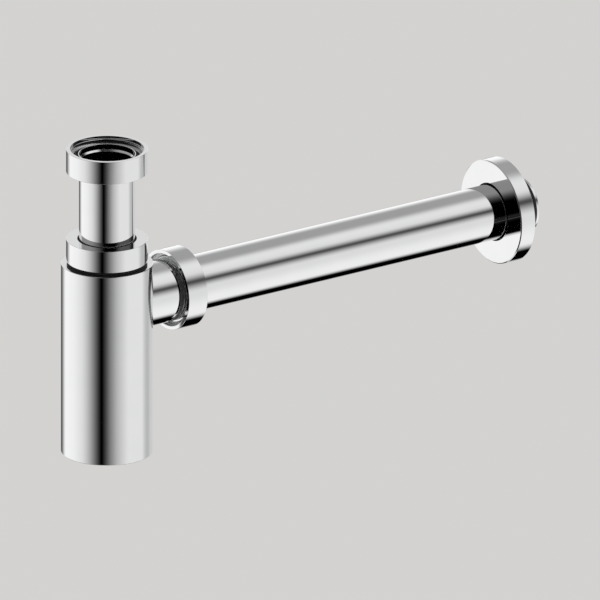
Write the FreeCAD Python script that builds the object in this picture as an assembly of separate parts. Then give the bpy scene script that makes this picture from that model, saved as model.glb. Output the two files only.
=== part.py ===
# Bottle trap for a washbasin: inlet nut and dip tube, bottle with its cleaning cap, wall pipe and wall flange.
# Millimetres. Z is up along the bottle's axis and X runs along the wall pipe.
# The origin is the middle of the inlet nut's top face.
import FreeCAD, Part
import os
from FreeCAD import Vector

# Clearances between pieces
slip_gap = 0.3           # between a tube and the metal that it passes through, and between two threads
grip_gap = 0.2           # between a tube and the ring that grips it, before the nut is tightened
face_gap = 0.1           # between flat faces that turn on each other

# Waste tube, the same for the inlet and the wall pipe. Every thread, nut and ring follows its radius.
tube_radius = 16.0
tube_wall = 1.0

# Inlet nut, with the G 1 1/4 thread that takes the basin waste
thread_over_tube = 3.475
nut_wall = 3.875
mouth_widening = 1.675
thread_crest_radius = tube_radius + thread_over_tube
inlet_nut_radius = thread_crest_radius + nut_wall
inlet_nut_height = 13.5
inlet_lip = 2.5
mouth_radius = thread_crest_radius + mouth_widening
mouth_depth = 2.0
nut_edge = 0.15          # chamfer on every nut's outer edges

# Inlet tube: a collar that the nut pulls up, a rim above it and the dip tube below
rim_drop = 3.0           # from the nut's top face down to the tube's rim
rim_thickening = 0.6
rim_bore_widening = 0.95
rim_edge = 0.2
rim_bore_depth = 3.2
collar_thickness = 2.4
gasket_thickness = 3.2
gasket_gap = 0.15
tube_showing = 40.8      # bare tube between the inlet nut and the bottle nut
dip_depth = 160.0        # from the nut's top face down to the tube's open end

# Compression joints: one on the bottle's neck, one on its outlet
recess_widening = 1.725
nut_radius = thread_crest_radius + nut_wall
nut_height = 12.9
nut_lip = 2.0
nut_hole_gap = 0.95      # open ring between the nut and the tube
hole_edge = 0.15
recess_radius = thread_crest_radius + recess_widening
recess_depth = 2.4
slip_ring_thickness = 1.4
seal_stand = 1.6         # height of the seal above the mouth that it wedges into
seal_depth = 3.4         # depth of the seal inside that mouth
cone_widening = 2.0      # of the mouth over the tube's hole
cone_depth = 4.5

# Bottle
bottle_overhang = 2.95   # of the bottle over the bottle nut
bottle_radius = nut_radius + bottle_overhang
bottle_height = 113.9
bottle_wall = 1.5
bottle_top_thickness = 2.0
bottle_edge = 0.6
nut_clearance = 1.7      # between the bottle nut and the bottle, filled by a rubber washer
neck_washer_inset = 0.45  # of the washer behind the nut's side
outlet_drop = 25.2       # from the bottle's top down to the wall pipe's axis
outlet_reach = 53.7      # from the bottle's axis out to the outlet nut's outer face
stub_wall = 0.7
stub_head_length = 4.9

# Cleaning cap, screwed flush into the bottle's floor
cap_border = 4.1         # width of the bottle's floor round the cap
cap_seat_width = 2.5
cap_radius = bottle_radius - cap_border
cap_head_thickness = 2.0
cap_inset = 0.2
cap_edge = 0.5
cap_plug_radius = cap_radius - cap_seat_width
cap_plug_height = 6.8
cap_floor = 4.8
cap_plug_wall = 3.2
cap_ring_cord = 0.75
cap_ring_gap = 0.15
floor_ring_rise = 0.5    # height of the bottle's threaded floor above the plug
slot_width = 3.0
slot_length = 30.0
slot_depth = 2.0

# Wall flange, a shallow turned cup whose hub holds a ring on the pipe
flange_overhang = 14.25  # of the flange over the pipe
flange_radius = tube_radius + flange_overhang
flange_depth = 9.8
flange_wall = 1.6
flange_front = 267.0     # front face, from the bottle's axis
flange_edge = 0.5
flange_hole_gap = 0.9    # open ring between the flange's face and the pipe
hub_wall = 1.8
hub_back_gap = 1.2       # the hub stops this far short of the wall
flange_ring_cord = 1.2

# Wall pipe
pipe_in_outlet = 20.7    # from the outlet nut's outer face back to the pipe's inner end
pipe_into_wall = 12.8    # from the flange's back to the pipe's outer end

# Levels that follow from the sizes above
nut_lip_top = -(inlet_nut_height - inlet_lip)
collar_low = nut_lip_top + face_gap
collar_high = collar_low + collar_thickness
collar_radius = thread_crest_radius - slip_gap
rim_radius = tube_radius + rim_thickening
tube_bore = tube_radius - tube_wall
hole_radius = tube_radius + slip_gap
nut_hole_radius = tube_radius + nut_hole_gap
flange_hole_radius = tube_radius + flange_hole_gap
grip_radius = tube_radius + grip_gap
cone_radius = hole_radius + cone_widening
stub_radius = hole_radius + stub_wall
neck_radius = thread_crest_radius - slip_gap
bottle_nut_top = -(inlet_nut_height + tube_showing)
bottle_top = bottle_nut_top - nut_height - nut_clearance
bottle_bottom = bottle_top - bottle_height
outlet_height = bottle_top - outlet_drop
bottle_bore = bottle_radius - bottle_wall
pipe_start = outlet_reach - pipe_in_outlet
pipe_end = flange_front + flange_depth + pipe_into_wall

# Depths inside a compression joint, from the nut's outer face
slip_ring_at = nut_lip + face_gap
seal_at = slip_ring_at + slip_ring_thickness + face_gap
mouth_at = seal_at + seal_stand
cone_slope = (cone_radius - hole_radius) / cone_depth


def turned(corners):
    """Solid turned about Z from (radius, height) corners."""
    points = [Vector(radius, 0, height) for radius, height in corners]
    face = Part.Face(Part.makePolygon(points + points[:1]))
    return face.revolve(Vector(0, 0, 0), Vector(0, 0, 1), 360)


def rod(radius, low, high):
    """Plain cylinder about Z between two heights."""
    return Part.makeCylinder(radius, high - low, Vector(0, 0, low))


def on_neck(shape):
    """Moves a compression piece, made with the nut's outer face at height 0, onto the bottle's neck."""
    shape.Placement = FreeCAD.Placement(Vector(0, 0, bottle_nut_top), FreeCAD.Rotation())
    return shape


def along_pipe(shape, distance):
    """Lays a piece made about Z along the wall pipe, with its height 0 at a distance from the bottle's axis."""
    quarter_turn = FreeCAD.Rotation(Vector(0, 1, 0), 90)
    shape.Placement = FreeCAD.Placement(Vector(distance, 0, outlet_height), quarter_turn)
    return shape


def on_outlet(shape):
    """Moves a compression piece onto the bottle's outlet."""
    return along_pipe(shape, outlet_reach)


def inlet_nut():
    """Union nut: a threaded cup with an open mouth above and a lip round the tube below."""
    bottom = -inlet_nut_height
    return turned([
        (hole_radius, bottom),
        (inlet_nut_radius - nut_edge, bottom),
        (inlet_nut_radius, bottom + nut_edge),
        (inlet_nut_radius, -nut_edge),
        (inlet_nut_radius - nut_edge, 0),
        (mouth_radius, 0),
        (mouth_radius, -mouth_depth),
        (thread_crest_radius, -mouth_depth),
        (thread_crest_radius, nut_lip_top),
        (hole_radius, nut_lip_top),
    ])


def inlet_tube():
    """Drawn tube with a collar and a thickened rim at the top, open at the bottom of the water seal."""
    rim_top = -rim_drop
    rim_bore = tube_bore + rim_bore_widening
    return turned([
        (tube_bore, -dip_depth),
        (tube_radius, -dip_depth),
        (tube_radius, collar_low),
        (collar_radius, collar_low),
        (collar_radius, collar_high),
        (rim_radius, collar_high),
        (rim_radius, rim_top - rim_edge),
        (rim_radius - rim_edge, rim_top),
        (rim_bore + rim_edge, rim_top),
        (rim_bore, rim_top - rim_edge),
        (rim_bore, rim_top - rim_bore_depth),
        (tube_bore, rim_top - rim_bore_depth - rim_bore_widening),
    ])


def inlet_gasket():
    """Flat rubber washer that lies on the collar, round the rim."""
    ring = rod(collar_radius, collar_high, collar_high + gasket_thickness)
    return ring.cut(rod(rim_radius + gasket_gap, collar_high, collar_high + gasket_thickness))


def compression_nut():
    """Nut with a wide hole for the tube and a recess in front of its thread."""
    mouth = -nut_height
    return turned([
        (nut_hole_radius, -hole_edge),
        (nut_hole_radius + hole_edge, 0),
        (nut_radius - nut_edge, 0),
        (nut_radius, -nut_edge),
        (nut_radius, mouth + nut_edge),
        (nut_radius - nut_edge, mouth),
        (recess_radius, mouth),
        (recess_radius, mouth + recess_depth),
        (thread_crest_radius, mouth + recess_depth),
        (thread_crest_radius, -nut_lip),
        (nut_hole_radius, -nut_lip),
    ])


def slip_ring():
    """Hard plastic washer that lets the nut turn without twisting the seal."""
    low = -(slip_ring_at + slip_ring_thickness)
    ring = rod(collar_radius, low, -slip_ring_at)
    return ring.cut(rod(grip_radius, low, -slip_ring_at))


def tapered_seal():
    """Rubber ring whose lower half is a wedge that the nut presses into the mouth's cone."""
    shoulder = cone_radius - grip_gap
    tip = shoulder - cone_slope * seal_depth
    return turned([
        (grip_radius, -seal_at),
        (shoulder, -seal_at),
        (shoulder, -mouth_at),
        (tip, -(mouth_at + seal_depth)),
        (grip_radius, -(mouth_at + seal_depth)),
    ])


def threaded_end(length, tail_radius, tail_length):
    """Threaded end of the neck or the outlet, with a thinner tail behind it, still without its bore."""
    shoulder = -(mouth_at + length)
    tail_end = shoulder - tail_length
    return turned([
        (0, -mouth_at),
        (neck_radius, -mouth_at),
        (neck_radius, shoulder),
        (tail_radius, shoulder),
        (tail_radius, tail_end),
        (0, tail_end),
    ])


def joint_bore(depth):
    """Bore for the tube with the cone that takes the seal, as a solid to cut away."""
    return turned([
        (0, -mouth_at),
        (cone_radius, -mouth_at),
        (hole_radius, -(mouth_at + cone_depth)),
        (hole_radius, -depth),
        (0, -depth),
    ])


def bottle_body():
    """Bottle: turned shell, threaded neck, threaded floor and the outlet stub brazed in its side."""
    shell = turned([
        (0, bottle_bottom),
        (bottle_radius - bottle_edge, bottle_bottom),
        (bottle_radius, bottle_bottom + bottle_edge),
        (bottle_radius, bottle_top - bottle_edge),
        (bottle_radius - bottle_edge, bottle_top),
        (0, bottle_top),
    ])
    neck_length = nut_height + nut_clearance - mouth_at
    neck = on_neck(threaded_end(neck_length, neck_radius, bottle_top_thickness))
    outlet = on_outlet(threaded_end(stub_head_length, stub_radius, outlet_reach - mouth_at - stub_head_length))
    outside = shell.fuse([neck, outlet])

    cap_seat = bottle_bottom + cap_inset + cap_head_thickness + 2 * (cap_ring_cord + cap_ring_gap)
    plug_top = bottle_bottom + cap_inset + cap_head_thickness + cap_plug_height
    hollow = turned([
        (0, bottle_bottom),
        (cap_radius + slip_gap, bottle_bottom),
        (cap_radius + slip_gap, cap_seat),
        (cap_plug_radius + slip_gap, cap_seat),
        (cap_plug_radius + slip_gap, plug_top + floor_ring_rise),
        (bottle_bore, plug_top + floor_ring_rise),
        (bottle_bore, bottle_top - bottle_top_thickness),
        (0, bottle_top - bottle_top_thickness),
    ])
    neck_bore = on_neck(joint_bore(nut_height + nut_clearance + bottle_top_thickness))
    outlet_bore = on_outlet(joint_bore(outlet_reach))
    return outside.cut([hollow, neck_bore, outlet_bore]).removeSplitter()


def neck_washer():
    """Flat rubber washer round the neck, between the nut and the bottle."""
    high = bottle_top + nut_clearance - face_gap
    washer = rod(nut_radius - neck_washer_inset, bottle_top, high)
    return washer.cut(rod(neck_radius + grip_gap, bottle_top, high))


def cleaning_cap():
    """Screw cap with a coin slot, hollow on the water side."""
    head_low = bottle_bottom + cap_inset
    head_high = head_low + cap_head_thickness
    plug_top = head_high + cap_plug_height
    cap = turned([
        (0, head_low),
        (cap_radius - cap_edge, head_low),
        (cap_radius, head_low + cap_edge),
        (cap_radius, head_high),
        (cap_plug_radius, head_high),
        (cap_plug_radius, plug_top),
        (cap_plug_radius - cap_plug_wall, plug_top),
        (cap_plug_radius - cap_plug_wall, head_low + cap_floor),
        (0, head_low + cap_floor),
    ])
    corner = Vector(-slot_length / 2, -slot_width / 2, head_low)
    return cap.cut(Part.makeBox(slot_length, slot_width, slot_depth, corner))


def cap_o_ring():
    """Rubber ring between the cap's head and its seat in the bottle."""
    middle_radius = (cap_plug_radius + cap_radius) / 2
    height = bottle_bottom + cap_inset + cap_head_thickness + cap_ring_gap + cap_ring_cord
    return Part.makeTorus(middle_radius, cap_ring_cord, Vector(0, 0, height))


def outlet_pipe():
    """Plain drawn pipe from the bottle's outlet into the wall."""
    length = pipe_end - pipe_start
    pipe = rod(tube_radius, 0, length).cut(rod(tube_bore, 0, length))
    return along_pipe(pipe, pipe_start)


ring_middle = grip_radius + flange_ring_cord
groove_radius = ring_middle + flange_ring_cord + slip_gap
groove_half = flange_ring_cord + slip_gap
hub_length = flange_depth - hub_back_gap
groove_at = hub_length / 2 + flange_wall / 2


def wall_flange():
    """Cover for the hole in the wall: flat face, rim and a grooved hub round the pipe."""
    inside = flange_radius - flange_wall
    hub_radius = groove_radius + hub_wall
    flange = turned([
        (flange_hole_radius, hole_edge),
        (flange_hole_radius + hole_edge, 0),
        (flange_radius - flange_edge, 0),
        (flange_radius, flange_edge),
        (flange_radius, flange_depth),
        (inside, flange_depth),
        (inside, flange_wall),
        (hub_radius, flange_wall),
        (hub_radius, hub_length),
        (hole_radius, hub_length),
        (hole_radius, groove_at + groove_half),
        (groove_radius, groove_at + groove_half),
        (groove_radius, groove_at - groove_half),
        (flange_hole_radius, groove_at - groove_half),
    ])
    return along_pipe(flange, flange_front)


def flange_o_ring():
    """Rubber ring in the hub's groove that holds the flange on the pipe."""
    ring = Part.makeTorus(ring_middle, flange_ring_cord, Vector(0, 0, groove_at))
    turn = FreeCAD.Placement(Vector(flange_front, 0, outlet_height), FreeCAD.Rotation(Vector(0, 1, 0), 90))
    ring.Placement = turn.multiply(ring.Placement)
    return ring


pieces = {
    "inlet_nut": inlet_nut(),
    "inlet_gasket": inlet_gasket(),
    "inlet_tube": inlet_tube(),
    "bottle_nut": on_neck(compression_nut()),
    "bottle_slip_ring": on_neck(slip_ring()),
    "bottle_seal": on_neck(tapered_seal()),
    "bottle_body": bottle_body(),
    "neck_washer": neck_washer(),
    "cleaning_cap": cleaning_cap(),
    "cap_o_ring": cap_o_ring(),
    "outlet_nut": on_outlet(compression_nut()),
    "outlet_slip_ring": on_outlet(slip_ring()),
    "outlet_seal": on_outlet(tapered_seal()),
    "outlet_pipe": outlet_pipe(),
    "wall_flange": wall_flange(),
    "flange_o_ring": flange_o_ring(),
}

os.makedirs("parts", exist_ok=True)
for name, shape in pieces.items():
    shape.exportStep("parts/" + name + ".step")
    box = shape.BoundBox
    print(f"{name}: solids {len(shape.Solids)} valid {shape.isValid()} volume {shape.Volume:.1f}",
          f"x {box.XMin:.2f} {box.XMax:.2f} y {box.YMin:.2f} {box.YMax:.2f} z {box.ZMin:.2f} {box.ZMax:.2f}")
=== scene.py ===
# Bottle trap in chromed brass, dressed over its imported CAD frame.
# Sizes are in millimetres and become metres where a mesh is made. Z is up, X runs along the wall pipe.
import math

import bmesh
import bpy
from mathutils import Matrix, Vector


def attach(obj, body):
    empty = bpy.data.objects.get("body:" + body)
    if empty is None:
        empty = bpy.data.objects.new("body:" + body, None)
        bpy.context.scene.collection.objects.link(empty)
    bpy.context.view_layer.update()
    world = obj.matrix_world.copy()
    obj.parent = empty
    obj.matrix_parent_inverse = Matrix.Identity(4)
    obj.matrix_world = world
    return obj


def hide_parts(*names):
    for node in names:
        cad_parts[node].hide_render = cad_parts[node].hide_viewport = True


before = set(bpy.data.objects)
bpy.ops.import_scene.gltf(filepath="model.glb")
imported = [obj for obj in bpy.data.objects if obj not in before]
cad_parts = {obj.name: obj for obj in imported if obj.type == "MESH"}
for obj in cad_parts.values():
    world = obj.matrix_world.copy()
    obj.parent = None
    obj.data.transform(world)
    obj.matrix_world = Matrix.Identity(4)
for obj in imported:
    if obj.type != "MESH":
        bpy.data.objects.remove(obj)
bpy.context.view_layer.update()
mm = 0.001


# Inlet nut: the union nut that hangs on the tube's collar by its lip and turns freely on it.
# It is turned from brass bar with a G 1 1/4 inside thread, polished, nickelled and chromed.
nut_radius = 23.35
nut_edge = 0.1
edge_round = 0.06
inner_round = 0.2
tube_hole = 16.3
inlet_nut_low = -13.5
inlet_lip_top = -11
mouth_radius = 21.15
mouth_low = -2
entry_slope = 0.1
thread_crest = 19.475
thread_root = 20.955
thread_pitch = 2.309


def linear(colour):
    """sRGB hex to the linear colour that shader sockets take."""
    channels = [int(colour[start:start + 2], 16) / 255 for start in (1, 3, 5)]
    return [c / 12.92 if c <= 0.04045 else ((c + 0.055) / 1.055) ** 2.4 for c in channels] + [1]


def add_node(tree, kind, inputs=None, **settings):
    """Adds a node with its settings, and links or fills its inputs."""
    node = tree.nodes.new(kind)
    for name, value in settings.items():
        setattr(node, name, value)
    for socket, value in (inputs or {}).items():
        if isinstance(value, bpy.types.NodeSocket):
            tree.links.new(value, node.inputs[socket])
        else:
            node.inputs[socket].default_value = value
    return node


def new_material(name):
    """An empty node material."""
    material = bpy.data.materials.new(name)
    material.use_nodes = True
    material.node_tree.nodes.clear()
    return material


def add_noise(tree, size, detail):
    """Adds noise that is fixed to the piece, with features of about the given size in millimetres."""
    place = add_node(tree, "ShaderNodeTexCoord")
    return add_node(tree, "ShaderNodeTexNoise",
                    {"Vector": place.outputs["Object"], "Scale": 1 / (size * mm), "Detail": detail})


def chrome_plate(name, smoothest, roughest):
    """Chrome plate with a cool tone, and a haze that changes in wide patches and fine streaks."""
    material = new_material(name)
    tree = material.node_tree
    haze = add_noise(tree, size=14, detail=2.0)
    streaks = add_noise(tree, size=1.0, detail=3.0)
    patchy = add_node(tree, "ShaderNodeMath", {0: haze.outputs["Fac"], 1: streaks.outputs["Fac"]},
                      operation="ADD")
    polish = add_node(tree, "ShaderNodeMapRange",
                      {"Value": patchy.outputs[0], "From Min": 0.7, "From Max": 1.3,
                       "To Min": smoothest, "To Max": roughest})
    tone = add_node(tree, "ShaderNodeMix",
                    {"Factor": haze.outputs["Fac"], "A": linear("#E0E1E1"), "B": linear("#E6E6E6")},
                    data_type="RGBA")
    surface = add_node(tree, "ShaderNodeBsdfPrincipled",
                       {"Base Color": tone.outputs["Result"], "Metallic": 1.0,
                        "Roughness": polish.outputs["Result"]})
    add_node(tree, "ShaderNodeOutputMaterial", {"Surface": surface.outputs["BSDF"]})
    return material


# Outside, the plate lies on polished brass and is a mirror.
# The threads are plated as they were cut, so they are satin.
chrome = chrome_plate("chrome_plate_polished", smoothest=0.02, roughest=0.045)
cut_chrome = chrome_plate("chrome_plate_as_cut", smoothest=0.46, roughest=0.56)


def new_tree(name, inputs, output):
    """An empty Geometry Nodes tree with named inputs."""
    tree = bpy.data.node_groups.new(name, "GeometryNodeTree")
    for label, kind in inputs.items():
        tree.interface.new_socket(label, in_out="INPUT", socket_type="NodeSocket" + kind)
    tree.interface.new_socket(output, in_out="OUTPUT", socket_type="NodeSocketGeometry")
    return tree


# A turned piece: its half outline, with every corner broken as the turner breaks it, swept round the axis.
# The sweep runs along a thin spindle, because a circle of no radius gives no direction to sweep in.
spindle_radius = 1 * mm
seam_weld = 0.001 * mm
turning = new_tree("turned piece", {"Outline": "Geometry", "Segments": "Int", "Corner steps": "Int",
                                    "Material": "Material"}, "Piece")
given = add_node(turning, "NodeGroupInput").outputs
outline = add_node(turning, "GeometryNodeMeshToCurve", {"Mesh": given["Outline"]})
rounding = add_node(turning, "GeometryNodeInputNamedAttribute", {"Name": "rounding"}, data_type="FLOAT")
broken = add_node(turning, "GeometryNodeFilletCurve",
                  {"Curve": outline.outputs["Curve"], "Count": given["Corner steps"],
                   "Radius": rounding.outputs["Attribute"], "Limit Radius": True}, mode="POLY")
offset = add_node(turning, "GeometryNodeTransform",
                  {"Geometry": broken.outputs["Curve"], "Translation": (-spindle_radius, 0, 0)})
spindle = add_node(turning, "GeometryNodeCurvePrimitiveCircle",
                   {"Resolution": given["Segments"], "Radius": spindle_radius})
swept = add_node(turning, "GeometryNodeCurveToMesh",
                 {"Curve": spindle.outputs["Curve"], "Profile Curve": offset.outputs["Geometry"]})
closed = add_node(turning, "GeometryNodeMergeByDistance",
                  {"Geometry": swept.outputs["Mesh"], "Distance": seam_weld})
whole = add_node(turning, "GeometryNodeRealizeInstances", {"Geometry": closed.outputs["Geometry"]})
plated = add_node(turning, "GeometryNodeSetMaterial",
                  {"Geometry": whole.outputs["Geometry"], "Material": given["Material"]})
add_node(turning, "NodeGroupOutput", {"Piece": plated.outputs["Geometry"]})


def apply_modifiers(piece):
    """Makes what the modifiers give the piece's plain mesh."""
    seen = piece.evaluated_get(bpy.context.evaluated_depsgraph_get())
    before = piece.data
    piece.data = bpy.data.meshes.new_from_object(seen)
    piece.modifiers.clear()
    bpy.data.meshes.remove(before)


def run_tree(piece, tree, values):
    """Runs a node tree on a piece with its named inputs set."""
    modifier = piece.modifiers.new(tree.name, "NODES")
    modifier.node_group = tree
    for item in tree.interface.items_tree:
        if item.name in values:
            modifier[item.identifier] = values[item.name]
    apply_modifiers(piece)


def new_piece(name, mesh):
    """Puts a mesh into the scene under a name."""
    piece = bpy.data.objects.new(name, mesh)
    bpy.context.scene.collection.objects.link(piece)
    return piece


def smooth(piece):
    """Turns the faces outwards, and shades a piece smooth up to its sharp edges, true on its flats."""
    weld = 0.003 * mm
    shortest_edge = 0.002 * mm
    sharp_from = math.radians(32)
    shape = bmesh.new()
    shape.from_mesh(piece.data)
    bmesh.ops.remove_doubles(shape, verts=shape.verts, dist=weld)
    bmesh.ops.dissolve_degenerate(shape, edges=shape.edges, dist=shortest_edge)
    bmesh.ops.recalc_face_normals(shape, faces=shape.faces)
    shape.to_mesh(piece.data)
    shape.free()
    piece.data.shade_smooth()
    piece.data.set_sharp_from_angle(angle=sharp_from)
    weighted = piece.modifiers.new("true flats", "WEIGHTED_NORMAL")
    weighted.keep_sharp = True
    apply_modifiers(piece)


def turned(name, corners, material, place=Matrix()):
    """Turns a piece from (radius, height, rounding) corners in millimetres, and lays it in its place."""
    count = len(corners)
    mesh = bpy.data.meshes.new(name)
    mesh.from_pydata([(radius * mm, -height * mm, 0) for radius, height, _ in corners],
                     [(step, (step + 1) % count) for step in range(count)], [])
    roundings = mesh.attributes.new("rounding", "FLOAT", "POINT")
    roundings.data.foreach_set("value", [corner[2] * mm for corner in corners])
    piece = new_piece(name, mesh)
    run_tree(piece, turning, {"Segments": 256, "Corner steps": 4, "Material": material})
    piece.data.transform(place)
    smooth(piece)
    return piece


inlet_nut = turned("inlet_nut_metal", [
    (tube_hole, inlet_nut_low, inner_round),
    (nut_radius - nut_edge, inlet_nut_low, edge_round),
    (nut_radius, inlet_nut_low + nut_edge, edge_round),
    (nut_radius, -nut_edge, edge_round),
    (nut_radius - nut_edge, 0, edge_round),
    (mouth_radius, 0, 0.08),
    (mouth_radius, mouth_low, 0.1),
    (thread_root, mouth_low - entry_slope, 0.05),
    (thread_root, inlet_lip_top, 0.1),
    (tube_hole, inlet_lip_top, inner_round),
], chrome)
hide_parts("inlet_nut")
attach(inlet_nut, "inlet_nut")

# A screw thread: one ridge swept along a right-hand helix, thinning out at both ends.
# Its crest may lie inside its root, as in a nut, or outside it, as on a neck.
thinnest = 0.05
threading = new_tree("screw thread", {"Root radius": "Float", "Crest radius": "Float", "Pitch": "Float",
                                      "Turns": "Float", "Root width": "Float", "Crest width": "Float",
                                      "Start height": "Float", "Run-out": "Float", "Steps per turn": "Int",
                                      "Material": "Material"}, "Thread")
given = add_node(threading, "NodeGroupInput").outputs
rise = add_node(threading, "ShaderNodeMath", {0: given["Pitch"], 1: given["Turns"]}, operation="MULTIPLY")
helix = add_node(threading, "GeometryNodeCurveSpiral",
                 {"Resolution": given["Steps per turn"], "Rotations": given["Turns"],
                  "Start Radius": given["Root radius"], "End Radius": given["Root radius"],
                  "Height": rise.outputs[0], "Reverse": True})
upright = add_node(threading, "GeometryNodeSetCurveNormal", {"Curve": helix.outputs["Curve"]}, mode="Z_UP")
depth = add_node(threading, "ShaderNodeMath",
                 {0: given["Crest radius"], 1: given["Root radius"]}, operation="SUBTRACT")
tall = add_node(threading, "ShaderNodeMath", {0: depth.outputs[0]}, operation="ABSOLUTE")
side = add_node(threading, "ShaderNodeMath", {0: depth.outputs[0]}, operation="SIGN")
ridge = add_node(threading, "GeometryNodeCurvePrimitiveQuadrilateral",
                 {"Height": tall.outputs[0], "Bottom Width": given["Root width"],
                  "Top Width": given["Crest width"], "Offset": 0.0}, mode="TRAPEZOID")
middle = add_node(threading, "ShaderNodeMath", {0: depth.outputs[0], 1: 0.5}, operation="MULTIPLY")
outwards = add_node(threading, "ShaderNodeCombineXYZ", {"X": middle.outputs[0]})
facing = add_node(threading, "ShaderNodeCombineXYZ", {"X": 1.0, "Y": side.outputs[0], "Z": 1.0})
flank = add_node(threading, "GeometryNodeTransform",
                 {"Geometry": ridge.outputs["Curve"], "Translation": outwards.outputs[0],
                  "Rotation": (0, 0, -math.pi / 2), "Scale": facing.outputs[0]})
along = add_node(threading, "GeometryNodeSplineParameter")
lead_in = add_node(threading, "ShaderNodeMapRange",
                   {"Value": along.outputs["Factor"], "From Min": 0.0, "From Max": given["Run-out"]})
left = add_node(threading, "ShaderNodeMath", {0: 1.0, 1: along.outputs["Factor"]}, operation="SUBTRACT")
lead_out = add_node(threading, "ShaderNodeMapRange",
                    {"Value": left.outputs[0], "From Min": 0.0, "From Max": given["Run-out"]})
fade = add_node(threading, "ShaderNodeMath", {0: lead_in.outputs["Result"], 1: lead_out.outputs["Result"]},
                operation="MINIMUM")
body = add_node(threading, "ShaderNodeMath", {0: fade.outputs[0], 1: thinnest}, operation="MAXIMUM")
wound = add_node(threading, "GeometryNodeCurveToMesh",
                 {"Curve": upright.outputs["Curve"], "Profile Curve": flank.outputs["Geometry"],
                  "Scale": body.outputs[0], "Fill Caps": True})
start = add_node(threading, "ShaderNodeCombineXYZ", {"Z": given["Start height"]})
lifted = add_node(threading, "GeometryNodeTransform",
                  {"Geometry": wound.outputs["Mesh"], "Translation": start.outputs[0]})
whole = add_node(threading, "GeometryNodeRealizeInstances", {"Geometry": lifted.outputs["Geometry"]})
plated = add_node(threading, "GeometryNodeSetMaterial",
                  {"Geometry": whole.outputs["Geometry"], "Material": given["Material"]})
add_node(threading, "NodeGroupOutput", {"Thread": plated.outputs["Geometry"]})


def threaded(name, root, crest, start, turns, place=Matrix()):
    """Cuts a thread between two radii, up from a start height, and lays it in its place."""
    piece = new_piece(name, bpy.data.meshes.new(name))
    run_tree(piece, threading, {
        "Root radius": root * mm, "Crest radius": crest * mm, "Pitch": thread_pitch * mm, "Turns": turns,
        "Root width": 1.5 * mm, "Crest width": 0.45 * mm, "Start height": start * mm, "Run-out": 0.12,
        "Steps per turn": 128, "Material": cut_chrome})
    piece.data.transform(place)
    smooth(piece)
    return piece


# The foot of each ridge is sunk a little into the metal that carries it.
thread_bed = 0.1
inlet_thread = threaded("inlet_nut_thread", thread_root + thread_bed, thread_crest, start=-9.9, turns=3.1)
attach(inlet_thread, "inlet_nut")


# Inlet tube: a drawn brass tube, chromed, with a brazed collar that the nut pulls up and a thickened rim.
# Below the bottle nut it goes on as the dip tube, open under the water line.
tube_radius = 16.0
tube_bore = 15.0
dip_end = -160
collar_radius = 19.175
collar_low = -10.9
collar_top = -8.5
rim_radius = 16.6
rim_bore = 15.95
rim_top = -3
rim_bore_low = -6.2
rim_taper_low = -7.15
inlet_tube = turned("inlet_tube_metal", [
    (tube_bore, dip_end, 0.15),
    (tube_radius, dip_end, 0.25),
    (tube_radius, collar_low, 0.1),
    (collar_radius, collar_low, 0.15),
    (collar_radius, collar_top, 0.15),
    (rim_radius, collar_top, 0.1),
    (rim_radius, rim_top, 0.25),
    (rim_bore, rim_top, 0.25),
    (rim_bore, rim_bore_low, 0.2),
    (tube_bore, rim_taper_low, 0.2),
], chrome)
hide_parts("inlet_tube")
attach(inlet_tube, "inlet")


# Inlet gasket: a flat washer punched from black EPDM rubber sheet, laid on the collar round the rim.
# The sheet is matte, with a fine grain of about 0.3 mm from the press and a grey bloom.
gasket_hole = 16.75
gasket_top = -5.3
rubber = new_material("epdm_rubber_darkened_as_shade")
tree = rubber.node_tree
bloom = add_noise(tree, size=5, detail=4.0)
grain = add_noise(tree, size=0.3, detail=2.0)
# Both colours are darker than the rubber's own black. This is painted shade, so that rubber in the gap under
# the bottle nut looks as dark as that shaded gap.
shade = add_node(tree, "ShaderNodeMix",
                 {"Factor": bloom.outputs["Fac"], "A": linear("#0D0D0D"), "B": linear("#171718")},
                 data_type="RGBA")
matte = add_node(tree, "ShaderNodeMapRange",
                 {"Value": bloom.outputs["Fac"], "From Min": 0.3, "From Max": 0.7,
                  "To Min": 0.6, "To Max": 0.78})
relief = add_node(tree, "ShaderNodeBump",
                  {"Strength": 0.35, "Distance": 0.05 * mm, "Height": grain.outputs["Fac"]})
surface = add_node(tree, "ShaderNodeBsdfPrincipled",
                   {"Base Color": shade.outputs["Result"], "Roughness": matte.outputs["Result"],
                    "IOR": 1.52, "Normal": relief.outputs["Normal"]})
add_node(tree, "ShaderNodeOutputMaterial", {"Surface": surface.outputs["BSDF"]})

inlet_gasket = turned("inlet_gasket_rubber", [
    (gasket_hole, collar_top, 0.15),
    (collar_radius, collar_top, 0.15),
    (collar_radius, gasket_top, 0.3),
    (gasket_hole, gasket_top, 0.3),
], rubber)
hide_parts("inlet_gasket")
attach(inlet_gasket, "inlet")


# Bottle nut: the compression nut that squeezes the seal round the tube.
# It is turned from brass bar and chromed like the inlet nut. Its hole leaves an open ring round the tube,
# and a wide recess hides the start of its thread.
nut_hole = 16.95
nut_low = -12.9
nut_lip_low = -2
recess_radius = 21.2
recess_top = -10.5


def compression_nut(name, place):
    """Turns a compression nut with its outer face at height 0."""
    return turned(name, [
        (nut_hole, 0, 0.15),
        (nut_radius - nut_edge, 0, edge_round),
        (nut_radius, -nut_edge, edge_round),
        (nut_radius, nut_low + nut_edge, edge_round),
        (nut_radius - nut_edge, nut_low, edge_round),
        (recess_radius, nut_low, inner_round),
        (recess_radius, recess_top, 0.1),
        (thread_root, recess_top + entry_slope, 0.05),
        (thread_root, nut_lip_low, 0.1),
        (nut_hole, nut_lip_low, 0.1),
    ], chrome, place)


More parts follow.
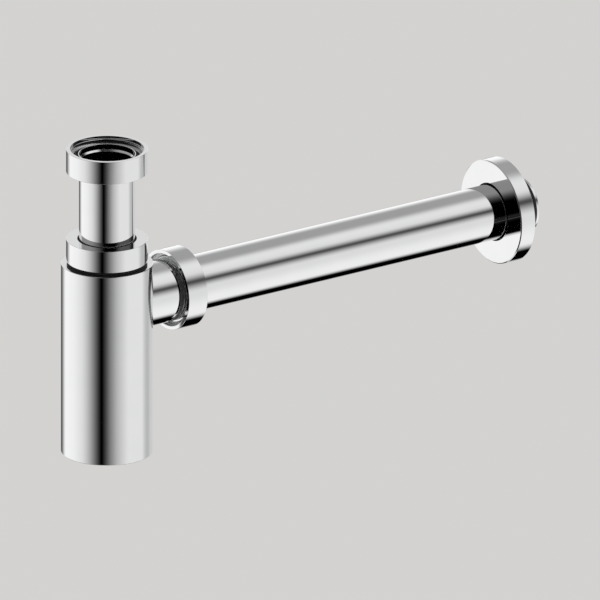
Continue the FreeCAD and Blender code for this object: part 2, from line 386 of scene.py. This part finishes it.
def cut_inside(piece, place):
    """Leaves the faces that look towards a turned piece's axis as they were cut."""
    inwards = -0.5
    piece.data.materials.append(cut_chrome)
    to_lathe = place.inverted()
    for face in piece.data.polygons:
        outwards = to_lathe @ face.center
        outwards.z = 0
        if (to_lathe.to_3x3() @ face.normal).dot(outwards.normalized()) < inwards:
            face.material_index = 1


bottle_nut_top = -54.3
on_neck = Matrix.Translation((0, 0, bottle_nut_top * mm))
bottle_nut = compression_nut("bottle_nut_metal", on_neck)
cut_inside(bottle_nut, on_neck)
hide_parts("bottle_nut")
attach(bottle_nut, "bottle_nut")

# The nut's thread and the neck's thread stand half a pitch apart, so that each runs in the other's groove.
half_pitch = 0.5 * thread_pitch
nut_thread_start = -10.3
nut_thread_turns = 3.2
bottle_nut_thread = threaded("bottle_nut_thread", thread_root + thread_bed, thread_crest,
                             nut_thread_start, nut_thread_turns, on_neck)
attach(bottle_nut_thread, "bottle_nut")


# Bottle slip ring: a hard polyethylene washer, so that the nut turns without twisting the seal.
# It is moulded, with a fine matte texture of about 0.4 mm. Its black colour is painted shade: it makes the
# ring round the tube look as dark as the shaded gap there.
packing_hole = 16.2
slip_low = -3.5
slip_top = -2.1
polyethylene = new_material("polyethylene_painted_shade_black")
tree = polyethylene.node_tree
clouds = add_noise(tree, size=6, detail=3.0)
mould = add_noise(tree, size=0.4, detail=2.0)
# The black of both colours is painted shade. The ring seen round the tube takes on the dark of the shaded
# gap.
shade = add_node(tree, "ShaderNodeMix",
                 {"Factor": clouds.outputs["Fac"], "A": linear("#1B1B1C"), "B": linear("#29292A")},
                 data_type="RGBA")
relief = add_node(tree, "ShaderNodeBump",
                  {"Strength": 0.2, "Distance": 0.04 * mm, "Height": mould.outputs["Fac"]})
gloss = add_node(tree, "ShaderNodeMapRange",
                 {"Value": clouds.outputs["Fac"], "From Min": 0.3, "From Max": 0.7,
                  "To Min": 0.4, "To Max": 0.52})
surface = add_node(tree, "ShaderNodeBsdfPrincipled",
                   {"Base Color": shade.outputs["Result"], "Roughness": gloss.outputs["Result"],
                    "IOR": 1.51, "Normal": relief.outputs["Normal"]})
add_node(tree, "ShaderNodeOutputMaterial", {"Surface": surface.outputs["BSDF"]})


def slip_ring(name, place):
    """Turns the outline of a moulded slip ring, measured from the nut's outer face."""
    return turned(name, [
        (packing_hole, slip_low, 0.15),
        (collar_radius, slip_low, 0.15),
        (collar_radius, slip_top, 0.15),
        (packing_hole, slip_top, 0.15),
    ], polyethylene, place)


bottle_slip_ring = slip_ring("bottle_slip_ring_plastic", on_neck)
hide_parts("bottle_slip_ring")
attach(bottle_slip_ring, "bottle_slip_ring")


# Bottle seal: a tapered ring of moulded black rubber, under the slip ring.
# The nut wedges it between the neck's cone and the tube, and it grips the tube there.
seal_radius = 18.1
seal_tip_radius = 16.589
seal_tip = -8.6
seal_taper_top = -5.2
seal_back = -3.6


def tapered_seal(name, place):
    """Turns the outline of a moulded tapered seal, measured from the nut's outer face."""
    return turned(name, [
        (packing_hole, seal_tip, 0.1),
        (seal_tip_radius, seal_tip, 0.1),
        (seal_radius, seal_taper_top, 0.2),
        (seal_radius, seal_back, 0.2),
        (packing_hole, seal_back, 0.2),
    ], rubber, place)


bottle_seal = tapered_seal("bottle_seal_rubber", on_neck)
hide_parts("bottle_seal")
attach(bottle_seal, "bottle_seal")


# Bottle: a turned brass shell with a threaded neck and floor, and the outlet stub brazed into its side.
# The whole is ground, polished and chromed, so the stub meets the shell in a clean line with no bead.
bottle_radius = 26.3
bottle_bore = 24.8
bottle_top = -68.9
bottle_bottom = -182.8
bottle_edge = 0.2
shoulder_wall = 2
mouth_inset = 5.2
neck_top = bottle_nut_top - mouth_inset
cone_radius = 18.3
cone_depth = 4.5
outlet_height = -94.1
outlet_reach = 53.7
stub_start = 15
stub_end = outlet_reach - mouth_inset
stub_collar = 4.9
stub_radius = 18.2
outlet_way_start = 10
cap_recess = 22.5
cap_seat = -178.8
floor_top = -173.3
floor_bore = 21.15
beyond = 2.0
bottle = turned("bottle_metal", [
    (0, bottle_bottom, 0),
    (bottle_radius - bottle_edge, bottle_bottom, edge_round),
    (bottle_radius, bottle_bottom + bottle_edge, edge_round),
    (bottle_radius, bottle_top - bottle_edge, edge_round),
    (bottle_radius - bottle_edge, bottle_top, edge_round),
    (collar_radius, bottle_top, 0.1),
    (collar_radius, neck_top, 0.25),
    (0, neck_top, 0),
], chrome)


def along_pipe(distance):
    """Lays what was turned about Z along the wall pipe, its height 0 at a distance from the bottle's axis."""
    return Matrix.Translation((distance * mm, 0, outlet_height * mm)) @ Matrix.Rotation(math.pi / 2, 4, "Y")


stub = turned("stub", [
    (0, stub_start, 0),
    (stub_radius, stub_start, 0),
    (stub_radius, stub_end - stub_collar, 0.1),
    (collar_radius, stub_end - stub_collar, 0.2),
    (collar_radius, stub_end, 0.25),
    (0, stub_end, 0),
], chrome, along_pipe(0))
hollow = turned("hollow", [
    (0, bottle_bottom - beyond, 0),
    (cap_recess, bottle_bottom - beyond, 0),
    (cap_recess, cap_seat, 0.1),
    (floor_bore, cap_seat, 0.1),
    (floor_bore, floor_top, 0.2),
    (bottle_bore, floor_top, 0.3),
    (bottle_bore, bottle_top - shoulder_wall, 0.5),
    (tube_hole, bottle_top - shoulder_wall, 0.2),
    (tube_hole, neck_top - cone_depth, 0.1),
    (cone_radius, neck_top, 0),
    (cone_radius, neck_top + beyond, 0),
    (0, neck_top + beyond, 0),
], chrome)
outlet_way = turned("outlet_way", [
    (0, outlet_way_start, 0),
    (tube_hole, outlet_way_start, 0),
    (tube_hole, stub_end - cone_depth, 0.1),
    (cone_radius, stub_end, 0),
    (cone_radius, stub_end + beyond, 0),
    (0, stub_end + beyond, 0),
], chrome, along_pipe(0))


def combine(piece, tool, operation):
    """Joins a tool to a piece, or cuts it out of the piece, and takes the tool away."""
    joint = piece.modifiers.new(tool.name, "BOOLEAN")
    joint.object = tool
    joint.operation = operation
    joint.solver = "EXACT"
    apply_modifiers(piece)
    bpy.data.objects.remove(tool)


combine(bottle, stub, "UNION")
combine(bottle, hollow, "DIFFERENCE")
combine(bottle, outlet_way, "DIFFERENCE")
smooth(bottle)


flat_enough = 0.999


def true_round(piece):
    """Gives the round walls of a joined piece their exact normals, about the bottle's axis or the pipe's."""
    mesh = piece.data
    normals = [corner.vector.copy() for corner in mesh.corner_normals]
    for face in mesh.polygons:
        for corner in face.loop_indices:
            point = mesh.vertices[mesh.loops[corner].vertex_index].co
            from_axis = Vector((point.x, point.y, 0))
            from_pipe = Vector((0, point.y, point.z - outlet_height * mm))
            for outwards in (from_axis, from_pipe) if point.x > stub_start * mm else (from_axis,):
                outwards.normalize()
                agreement = face.normal.dot(outwards)
                if abs(agreement) > flat_enough:
                    normals[corner] = outwards * math.copysign(1, agreement)
    mesh.normals_split_custom_set(normals)


true_round(bottle)
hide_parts("bottle_body")
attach(bottle, "bottle")

neck_thread_root = 19.05
neck_thread_crest = 20.75
neck_thread = threaded("neck_thread", neck_thread_root, neck_thread_crest,
                       nut_thread_start - half_pitch, turns=2.5, place=on_neck)
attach(neck_thread, "bottle")

floor_thread_crest = 20.0
floor_thread_start = -178.6
floor_thread = threaded("floor_thread", floor_bore + thread_bed, floor_thread_crest,
                        floor_thread_start, turns=2.1)
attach(floor_thread, "bottle")


# Neck washer: a flat washer punched from the same black rubber sheet as the gasket.
# It lies on the bottle's shoulder round the neck and fills the gap under the nut. Its near-black there is
# also painted shade, standing in for the shade in that gap.
washer_hole = collar_radius + 0.2
washer_radius = 22.9
washer_top = bottle_top + 1.6
neck_washer = turned("neck_washer_rubber_and_shade", [
    (washer_hole, bottle_top, 0.1),
    (washer_radius, bottle_top, 0.2),
    (washer_radius, washer_top, 0.2),
    (washer_hole, washer_top, 0.1),
], rubber)
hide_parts("neck_washer")
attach(neck_washer, "bottle")


# Cleaning cap: a turned brass screw cap in the bottle's floor, chromed, with a milled slot for a coin.
# Unscrewed, it lets the dirt out of the bottle.
cap_low = -182.6
cap_high = -180.6
cap_head = 22.2
cap_bevel = 0.5
cap_plug = 19.7
plug_top = -173.8
plug_bore = 16.5
plug_floor = -177.8
slot_length = 30
slot_width = 3
slot_depth = 2
cleaning_cap = turned("cleaning_cap_metal", [
    (0, cap_low, 0),
    (cap_head - cap_bevel, cap_low, edge_round),
    (cap_head, cap_low + cap_bevel, edge_round),
    (cap_head, cap_high, 0.15),
    (cap_plug, cap_high, 0.1),
    (cap_plug, plug_top, 0.4),
    (plug_bore, plug_top, 0.3),
    (plug_bore, plug_floor, 0.4),
    (0, plug_floor, 0),
], chrome)
slot_cutter = new_piece("slot_cutter", bpy.data.meshes.new("slot_cutter"))
slot_size = Matrix.Diagonal((slot_length * mm, slot_width * mm, 2 * slot_depth * mm, 1))
shape = bmesh.new()
bmesh.ops.create_cube(shape, size=1.0, matrix=Matrix.Translation((0, 0, cap_low * mm)) @ slot_size)
shape.to_mesh(slot_cutter.data)
shape.free()
combine(cleaning_cap, slot_cutter, "DIFFERENCE")
smooth(cleaning_cap)


def true_flats(piece):
    """Gives the level faces of a piece, and the walls of its slot, their exact normals."""
    half_length = 0.51 * slot_length * mm
    half_width = 0.51 * slot_width * mm
    mesh = piece.data
    normals = [corner.vector.copy() for corner in mesh.corner_normals]
    for face in mesh.polygons:
        level = abs(face.normal.z) > flat_enough
        upright_wall = max(abs(face.normal.x), abs(face.normal.y)) > flat_enough
        in_slot = abs(face.center.x) < half_length and abs(face.center.y) < half_width
        if level or (upright_wall and in_slot):
            for corner in face.loop_indices:
                normals[corner] = face.normal.copy()
    mesh.normals_split_custom_set(normals)


true_flats(cleaning_cap)
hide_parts("cleaning_cap")
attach(cleaning_cap, "cleaning_cap")

cap_thread_crest = 20.9
cap_thread_play = 0.2
cap_thread_start = floor_thread_start + half_pitch - cap_thread_play
cap_thread = threaded("cleaning_cap_thread", cap_plug - thread_bed, cap_thread_crest,
                      cap_thread_start, turns=1.4)
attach(cap_thread, "cleaning_cap")


# Cap ring: a moulded O-ring of black rubber.
# It lies on the cap's head and is pressed against the seat in the bottle's floor.
def o_ring(name, radius, cord, height, place=Matrix()):
    """Turns a round cord into a ring."""
    steps = 28
    turns = [2 * math.pi * step / steps for step in range(steps)]
    section = [(radius + cord * math.cos(turn), height + cord * math.sin(turn), 0) for turn in turns]
    return turned(name, section, rubber, place)


cap_ring = o_ring("cap_ring_rubber", radius=20.95, cord=0.75, height=-179.7)
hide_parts("cap_o_ring")
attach(cap_ring, "cap_o_ring")


# Outlet nut with its slip ring and seal: the same joint as on the neck, laid along the wall pipe.
# The nut's open end faces the bottle, so its recess and the stub's thread show beside the stub.
on_outlet = along_pipe(outlet_reach)
outlet_nut = compression_nut("outlet_nut_metal", on_outlet)
cut_inside(outlet_nut, on_outlet)
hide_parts("outlet_nut")
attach(outlet_nut, "outlet_nut")

outlet_nut_thread = threaded("outlet_nut_thread", thread_root + thread_bed, thread_crest,
                             nut_thread_start, nut_thread_turns, on_outlet)
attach(outlet_nut_thread, "outlet_nut")

stub_thread = threaded("stub_thread", neck_thread_root, neck_thread_crest,
                       nut_thread_start + half_pitch, turns=1.5, place=on_outlet)
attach(stub_thread, "bottle")

outlet_slip_ring = slip_ring("outlet_slip_ring_plastic", on_outlet)
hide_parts("outlet_slip_ring")
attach(outlet_slip_ring, "outlet_slip_ring")

outlet_seal = tapered_seal("outlet_seal_rubber", on_outlet)
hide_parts("outlet_seal")
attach(outlet_seal, "outlet_seal")


# Wall pipe: a plain drawn brass tube, chromed, cut square at both ends and deburred.
# It is held by the outlet nut's seal and runs through the flange into the wall.
pipe_depth = 20.7
pipe_start = outlet_reach - pipe_depth
pipe_end = 289.6
outlet_pipe = turned("outlet_pipe_metal", [
    (tube_bore, pipe_start, 0.15),
    (tube_radius, pipe_start, 0.25),
    (tube_radius, pipe_end, 0.25),
    (tube_bore, pipe_end, 0.15),
], chrome, along_pipe(0))
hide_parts("outlet_pipe")
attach(outlet_pipe, "outlet_pipe")


# Shade band: a thin band of black rubber over the pipe's end behind the flange.
# It is painted shade: a dark sheet that makes the gap behind the flange look dark.
band_start = 277.2
band_end = 287.9
band_outside = tube_radius + 0.15
band_inside = tube_radius - 0.1
shade_band = turned("shade_band_rubber", [
    (band_inside, band_start, 0.02),
    (band_outside, band_start, 0.06),
    (band_outside, band_end, 0.06),
    (band_inside, band_end, 0.02),
], rubber, along_pipe(0))
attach(shade_band, "outlet_pipe")


# Wall flange: a shallow cup pressed and turned from brass, chromed, with a grooved hub soldered inside.
# It slides on the pipe against the wall and covers the hole there.
flange_front = 267.0
flange_hole = 16.9
flange_radius = 30.25
flange_bevel = 0.5
flange_wall = 1.6
flange_depth = 9.8
hub_radius = 21.9
hub_depth = 8.6
groove_radius = 18.9
groove_front = 3.6
groove_back = 6.6
flange = turned("wall_flange_metal", [
    (flange_hole, 0, 0.15),
    (flange_radius - flange_bevel, 0, edge_round),
    (flange_radius, flange_bevel, edge_round),
    (flange_radius, flange_depth, 0.2),
    (flange_radius - flange_wall, flange_depth, 0.2),
    (flange_radius - flange_wall, flange_wall, 0.4),
    (hub_radius, flange_wall, 0.3),
    (hub_radius, hub_depth, 0.2),
    (tube_hole, hub_depth, 0.2),
    (tube_hole, groove_back, 0.1),
    (groove_radius, groove_back, 0.1),
    (groove_radius, groove_front, 0.1),
    (flange_hole, groove_front, 0.1),
], chrome, along_pipe(flange_front))
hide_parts("wall_flange")
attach(flange, "wall_flange")


# Flange ring: a moulded O-ring of black rubber in the hub's groove.
# It grips the pipe and keeps the flange where it is pushed.
flange_ring = o_ring("flange_ring_rubber", radius=17.4, cord=1.2, height=5.1, place=along_pipe(flange_front))
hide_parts("flange_o_ring")
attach(flange_ring, "flange_o_ring")


# Studio: a plain pale floor far under the part, which hangs free as in use, and even light from the room.
# The floor is one matte painted sheet. A soft sun that the mirror finish doesn't see shapes the rubber.
# The distances here and in the light tent are in metres.
floor_depth = 13.0
floor_reach = 40
pale = linear("#D5D4D2")
white = linear("#FFFFFF")
paint = new_material("floor_paint_pale")
tree = paint.node_tree
surface = add_node(tree, "ShaderNodeBsdfDiffuse", {"Color": pale})
add_node(tree, "ShaderNodeOutputMaterial", {"Surface": surface.outputs["BSDF"]})
floor = new_piece("floor", bpy.data.meshes.new("floor"))
floor.data.from_pydata([(-floor_reach, -floor_reach, -floor_depth), (floor_reach, -floor_reach, -floor_depth),
                        (floor_reach, floor_reach, -floor_depth), (-floor_reach, floor_reach, -floor_depth)],
                       [], [(0, 1, 2, 3)])
floor.data.materials.append(paint)

world = bpy.data.worlds.new("pale_room")
bpy.context.scene.world = world
world.use_nodes = True
tree = world.node_tree
tree.nodes.clear()
ray = add_node(tree, "ShaderNodeLightPath").outputs
mirrored = add_node(tree, "ShaderNodeMath", {0: ray["Is Glossy Ray"], 1: ray["Is Transmission Ray"]},
                    operation="MAXIMUM")
watched = add_node(tree, "ShaderNodeMath", {0: ray["Is Camera Ray"], 1: mirrored.outputs[0]},
                   operation="MAXIMUM")
light = add_node(tree, "ShaderNodeBackground", {"Color": white, "Strength": 0.85})
backdrop = add_node(tree, "ShaderNodeBackground", {"Color": pale, "Strength": 1.0})
room = add_node(tree, "ShaderNodeMixShader",
                {0: watched.outputs[0], 1: light.outputs[0], 2: backdrop.outputs[0]})
add_node(tree, "ShaderNodeOutputWorld", {"Surface": room.outputs[0]})

sun = bpy.data.objects.new("soft_key", bpy.data.lights.new("soft_key", "SUN"))
bpy.context.scene.collection.objects.link(sun)
sun.data.energy = 0.5
sun.data.angle = math.radians(30)
sun.rotation_euler = (math.radians(35), 0, math.radians(-70))
sun.visible_glossy = False


# Light tent: a ball of soft light panels round the part, which only the mirror finish sees.
# Azimuth 0 is the camera's side and grows to the picture's right. What no panel covers stays dark:
# the strip in front, which gives the dark bands, and the low part of the back.
camera_azimuth = -35.0
tent_radius = 12.0
tent_middle = (0.12, 0, -0.09)
tent = new_piece("light_tent", bpy.data.meshes.new("light_tent"))
shape = bmesh.new()
bmesh.ops.create_icosphere(shape, subdivisions=4, radius=tent_radius)
shape.to_mesh(tent.data)
shape.free()
tent.location = tent_middle
tent.rotation_euler = (0, 0, math.radians(camera_azimuth))
tent.visible_camera = False
tent.visible_diffuse = False
tent.visible_transmission = False
tent.visible_shadow = False
glow = new_material("tent_panels")
tree = glow.node_tree
place = add_node(tree, "ShaderNodeTexCoord")
outward = add_node(tree, "ShaderNodeVectorMath", {0: place.outputs["Object"]}, operation="NORMALIZE")
axes = add_node(tree, "ShaderNodeSeparateXYZ", {0: outward.outputs[0]}).outputs
level = add_node(tree, "ShaderNodeMath", {0: axes["Z"]}, operation="ARCSINE")
front = add_node(tree, "ShaderNodeMath", {0: axes["Y"], 1: -1.0}, operation="MULTIPLY")
from_front = add_node(tree, "ShaderNodeMath", {0: axes["X"], 1: front.outputs[0]}, operation="ARCTAN2")
from_back = add_node(tree, "ShaderNodeMath", {0: axes["X"], 1: axes["Y"]}, operation="ARCTAN2")
# Each panel: which way its azimuth counts, the azimuths where it fades in and out, the levels where it does,
# and its brightness. Angles are in degrees.
panels = {
    "right": (from_front, (-4, 58, 95, 132), (-68, -62, -14, -2), 0.90),
    "right_top": (from_front, (30, 62, 95, 132), (-14, -2, -2, 27), 0.90),
    "right_low": (from_front, (-4, 58, 95, 132), (-68, -62, -45, -5), 0.18),
    "front_strip": (from_front, (-14, 10, 18, 48), (-21, -20.4, -19.6, -19), 0.18),
    "right_back": (from_back, (-6, 8, 42, 78), (-40, -27, -8, 10), 0.72),
    "left": (from_front, (-158, -122, -70, -14), (-44, -32, -18, -12), 0.90),
    "left_low": (from_front, (-158, -122, -90, -55), (-57, -47, -44, -32), 0.90),
    "left_middle": (from_front, (-150, -118, -100, -55), (-44, -32, -18, -12), 0.22),
    "left_back": (from_back, (-80, -40, -15, 5), (-40, -27, -18, -12), 0.12),
    "left_upper": (from_front, (-150, -120, -80, -8), (-18, -12, 90, 91), 0.38),
    "back_wall": (from_back, (-60, -40, 30, 48), (-14, -4, 5, 38), 0.78),
    "back_ceiling": (from_back, (-60, -40, 30, 48), (-14, -4, 90, 91), 0.43),
    "right_ceiling": (from_back, (30, 48, 60, 110), (28, 42, 90, 91), 0.43),
    "overhead": (from_front, (30, 65, 80, 150), (20, 42, 90, 91), 0.85),
    "zenith": (from_front, (-181, -180, 180, 181), (58, 70, 90, 91), 0.10),
    "nadir": (from_front, (-181, -180, 180, 181), (-91, -90, -68, -62), 0.95),
}
total = None
for name, (azimuth, azimuths, levels, strength) in panels.items():
    panel = None
    for angle, (first, full, still_full, last) in ((azimuth, azimuths), (level, levels)):
        for dark, bright in ((first, full), (last, still_full)):
            edge = add_node(tree, "ShaderNodeMapRange",
                            {"Value": angle.outputs[0], "From Min": math.radians(dark),
                             "From Max": math.radians(bright)}, interpolation_type="SMOOTHSTEP")
            if panel:
                edge = add_node(tree, "ShaderNodeMath", {0: panel.outputs[0], 1: edge.outputs["Result"]},
                                operation="MULTIPLY")
            panel = edge
    lit = add_node(tree, "ShaderNodeMath", {0: panel.outputs[0], 1: strength},
                   operation="MULTIPLY", label=name)
    if total:
        lit = add_node(tree, "ShaderNodeMath", {0: total.outputs[0], 1: lit.outputs[0]}, operation="ADD")
    total = lit
# Where panels overlap they add up, and this keeps their sum from clipping to white.
brightest = 1.15
held = add_node(tree, "ShaderNodeMath", {0: total.outputs[0], 1: brightest}, operation="MINIMUM")
shine = add_node(tree, "ShaderNodeEmission", {"Color": white, "Strength": held.outputs[0]})
add_node(tree, "ShaderNodeOutputMaterial", {"Surface": shine.outputs[0]})
tent.data.materials.append(glow)
glow.cycles.emission_sampling = "NONE"


# Camera: a parallel view, 20 degrees down and 35 degrees round, 1.755 pixels to the millimetre.
# It is moved across and down in its own plane until the part lies in the picture as in the photograph.
picture_width = 600
pixels_per_mm = 1.755
from_straight_down = 70
across = 109.94
down = -86.3
camera_distance = 1.0
camera = bpy.data.objects.new("camera", bpy.data.cameras.new("camera"))
bpy.context.scene.collection.objects.link(camera)
bpy.context.scene.camera = camera
camera.data.type = "ORTHO"
camera.data.ortho_scale = picture_width / pixels_per_mm * mm
turn = (Matrix.Rotation(math.radians(camera_azimuth), 4, "Z")
        @ Matrix.Rotation(math.radians(from_straight_down), 4, "X"))
camera.matrix_world = turn @ Matrix.Translation((across * mm, down * mm, camera_distance))

bpy.context.scene.view_settings.view_transform = "Standard"
